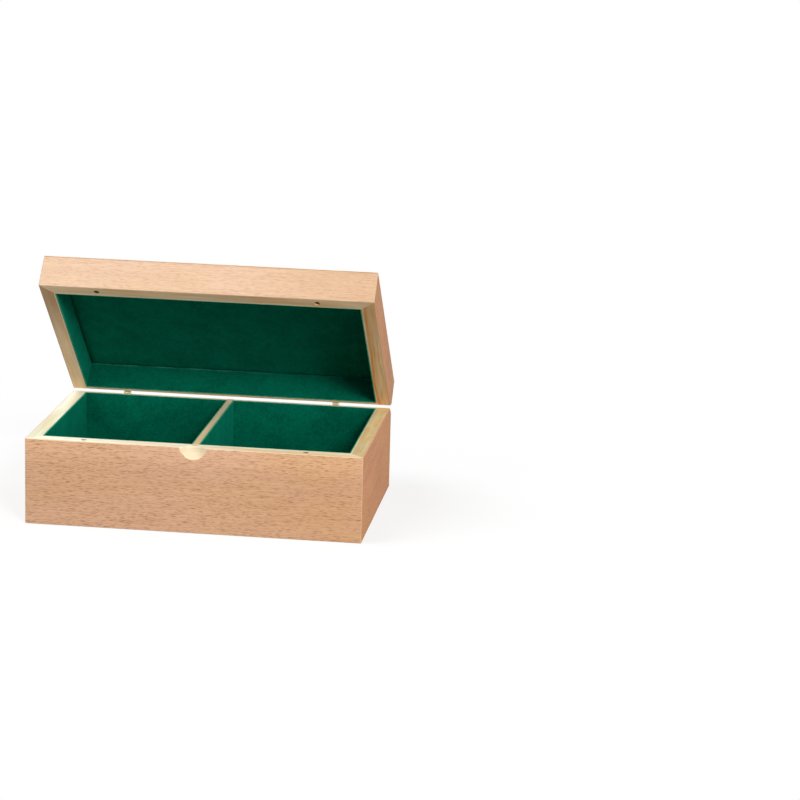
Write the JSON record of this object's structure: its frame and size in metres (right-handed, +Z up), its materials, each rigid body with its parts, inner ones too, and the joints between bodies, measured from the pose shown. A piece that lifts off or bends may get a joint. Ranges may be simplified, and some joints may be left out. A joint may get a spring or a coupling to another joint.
{
  "type": "chess box with hinged lid",
  "caption": "Wooden box for chess pieces: veneered mitred base with a divider, felt lining and finger notch, and a felt-lined lid on barrel hinges, held shut by magnets.",
  "frame": {"origin": "centre of the box's underside", "axes": "+X along the front towards the right-hand end, +Y from the front towards the hinged back, +Z up out of the base; the lid stands 43 degrees open"},
  "size_m": [0.24, 0.1695, 0.1818],
  "materials": {
    "beech_veneer": "satin-lacquered beech veneer with short dark flecks",
    "light_veneer": "satin-lacquered lighter veneer leaf",
    "core_board": "clear-lacquered pale timber edge",
    "divider_board": "bare planed edge",
    "plywood": "sanded plywood",
    "green_felt": "glued dark green craft felt",
    "hinge_brass": "turned brass, slightly dull",
    "hinge_steel": "drawn steel pin",
    "magnet_nickel": "nickel-plated magnet face"
  },
  "bodies": {
    "base": {"base_back_veneer": "beech_veneer", "base_back_wall": "core_board", "base_floor_panel": "plywood", "base_front_veneer": "beech_veneer", "base_front_wall": "core_board", "base_left_veneer": "beech_veneer", "base_left_wall": "core_board", "base_magnets": "magnet_nickel", "base_right_veneer": "beech_veneer", "base_right_wall": "core_board", "divider": "divider_board", "left_back_felt": "green_felt", "left_divider_felt": "green_felt", "left_floor_felt": "green_felt", "left_front_felt": "green_felt", "left_hinge_base_half": "hinge_brass", "left_hinge_pin": "hinge_steel", "left_side_felt": "green_felt", "right_back_felt": "green_felt", "right_divider_felt": "green_felt", "right_floor_felt": "green_felt", "right_front_felt": "green_felt", "right_hinge_base_half": "hinge_brass", "right_hinge_pin": "hinge_steel", "right_side_felt": "green_felt"},
    "lid": {"left_hinge_lid_half": "hinge_brass", "lid_back_felt": "green_felt", "lid_back_veneer": "beech_veneer", "lid_back_wall": "core_board", "lid_front_felt": "green_felt", "lid_front_top_veneer": "light_veneer", "lid_front_veneer": "beech_veneer", "lid_front_wall": "core_board", "lid_left_felt": "green_felt", "lid_left_veneer": "beech_veneer", "lid_left_wall": "core_board", "lid_lining_panel": "green_felt", "lid_magnets": "magnet_nickel", "lid_rear_top_veneer": "beech_veneer", "lid_right_felt": "green_felt", "lid_right_veneer": "beech_veneer", "lid_right_wall": "core_board", "lid_top_panel": "plywood", "right_hinge_lid_half": "hinge_brass"}
  },
  "joints": [
    {"name": "lid_hinge", "type": "hinge", "parent": "base", "child": "lid", "pos_m": [0, 0.072, 0.0621], "axis": [-1, 0, 0], "range_deg": [-43, 51]}
  ]
}
